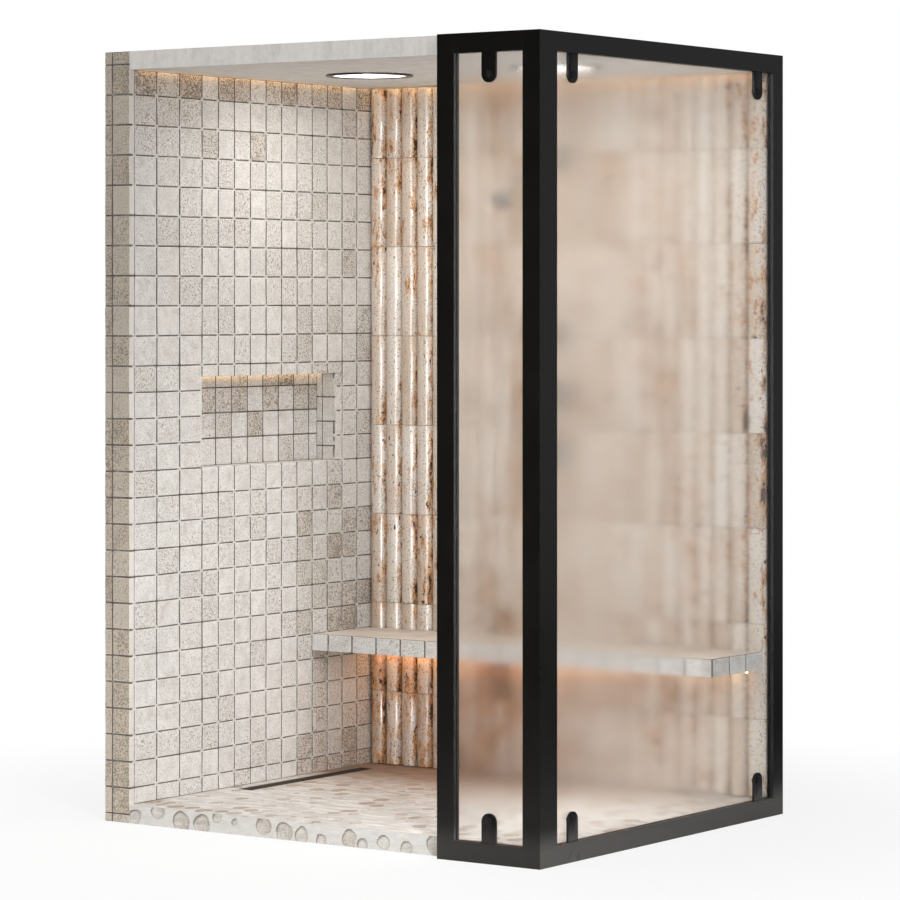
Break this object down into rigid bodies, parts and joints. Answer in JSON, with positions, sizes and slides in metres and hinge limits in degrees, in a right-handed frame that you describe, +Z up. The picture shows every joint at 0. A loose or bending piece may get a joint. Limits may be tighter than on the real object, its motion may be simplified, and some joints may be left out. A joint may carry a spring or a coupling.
{
  "type": "shower cabin",
  "caption": "Walk-in shower cabin with a tiled side wall and niche, a fluted travertine back wall, a bench, a lit ceiling and black-framed frosted glass panes.",
  "frame": {"origin": "middle of the cabin's footprint, at its underside", "axes": "+X to the right along the front, +Y from the entry to the back wall, +Z up"},
  "size_m": [1.66, 1.39, 2.4],
  "materials": {
    "travertine": "honed travertine with open pores",
    "tile_stone": "tumbled warm grey stone, matt",
    "bench_stone": "smooth beige stone, honed",
    "core_board": "cement-faced building board",
    "plaster": "fine off-white mineral plaster",
    "floor_stone": "cream pebble and shell floor, set in white mortar",
    "frame_black": "near-black satin powder coat",
    "cleat_metal": "mill aluminium",
    "frosted_glass": "acid-etched satin glass",
    "seal_rubber": "black rubber",
    "bolt_steel": "blackened steel",
    "light_channel": "natural anodised aluminium",
    "light_tape": "warm light tape",
    "light_cover": "opal cover",
    "bezel_dark": "dark bronze lacquer",
    "drain_steel": "brushed stainless steel",
    "grate_bronze": "dark bronze, oiled",
    "fitting_black": "matt black",
    "spray_rubber": "dark grey silicone",
    "valve_brass": "cast brass",
    "pipe_copper": "copper tube"
  },
  "bodies": {
    "cabin": {"travertine_mouldings": "travertine", "left_wall_tile_sheets": "tile_stone", "left_wall_end_tile_sheets": "tile_stone", "niche_back_tile_sheets": "tile_stone", "niche_reveal_strips": "tile_stone", "bench_edge_tiles": "tile_stone", "bench_end_tiles": "tile_stone", "bench_top": "bench_stone", "left_wall_core": "core_board", "back_wall_core": "core_board", "bench_core": "core_board", "ceiling_slab": "plaster", "floor_slab": "floor_stone", "front_frame_near_stile": "frame_black", "front_frame_far_stile": "frame_black", "front_frame_bottom_rail": "frame_black", "front_frame_top_rail": "frame_black", "side_frame_near_stile": "frame_black", "side_frame_far_stile": "frame_black", "side_frame_bottom_rail": "frame_black", "side_frame_top_rail": "frame_black", "frame_end_caps": "frame_black", "glass_clips": "frame_black", "frame_packers": "frame_black", "frame_corner_cleats": "cleat_metal", "downlight_back_boxes": "cleat_metal", "downlight_springs": "cleat_metal", "light_driver": "cleat_metal", "front_frame_glass": "frosted_glass", "side_frame_glass": "frosted_glass", "front_frame_glazing_seal": "seal_rubber", "side_frame_glazing_seal": "seal_rubber", "clip_pads": "seal_rubber", "clip_bolts": "bolt_steel", "clip_nuts": "bolt_steel", "bench_arms": "bolt_steel", "side_cove_light_channel": "light_channel", "rear_cove_light_channel": "light_channel", "niche_light_channel": "light_channel", "bench_light_channel": "light_channel", "light_tapes": "light_tape", "light_covers": "light_cover", "downlight_lenses": "light_cover", "downlight_bezels": "bezel_dark", "drain_channel": "drain_steel", "wall_rosettes": "fitting_black", "shower_arm": "fitting_black", "valve_bodies": "valve_brass", "hot_supply_pipe": "pipe_copper", "cold_supply_pipe": "pipe_copper", "riser_pipes": "pipe_copper"},
    "stop_handle_body": {"stop_handle": "fitting_black"},
    "mixer_handle_body": {"mixer_handle": "fitting_black"},
    "flow_handle_body": {"flow_handle": "fitting_black"},
    "shower_head_body": {"shower_head": "fitting_black", "spray_plate": "spray_rubber"},
    "drain_grate_body": {"drain_grate": "grate_bronze", "drain_strainer": "drain_steel"}
  },
  "joints": [
    {"name": "stop_turn", "type": "hinge", "parent": "cabin", "child": "stop_handle_body", "pos_m": [0.04, 0.588, 1.519], "axis": [0, -1, 0], "range_deg": [0, 90]},
    {"name": "mixer_turn", "type": "hinge", "parent": "cabin", "child": "mixer_handle_body", "pos_m": [0.04, 0.588, 1.316], "axis": [0, -1, 0], "range_deg": [-135, 135]},
    {"name": "flow_turn", "type": "hinge", "parent": "cabin", "child": "flow_handle_body", "pos_m": [0.04, 0.588, 1.127], "axis": [0, -1, 0], "range_deg": [0, 90]},
    {"name": "head_tilt", "type": "hinge", "parent": "cabin", "child": "shower_head_body", "pos_m": [0.04, 0.2969, 1.96543], "axis": [1, 0, 0], "range_deg": [-22, 22]},
    {"name": "grate_lift", "type": "slide", "parent": "cabin", "child": "drain_grate_body", "axis": [0, 0, 1], "range_m": [0, 0.12]}
  ]
}
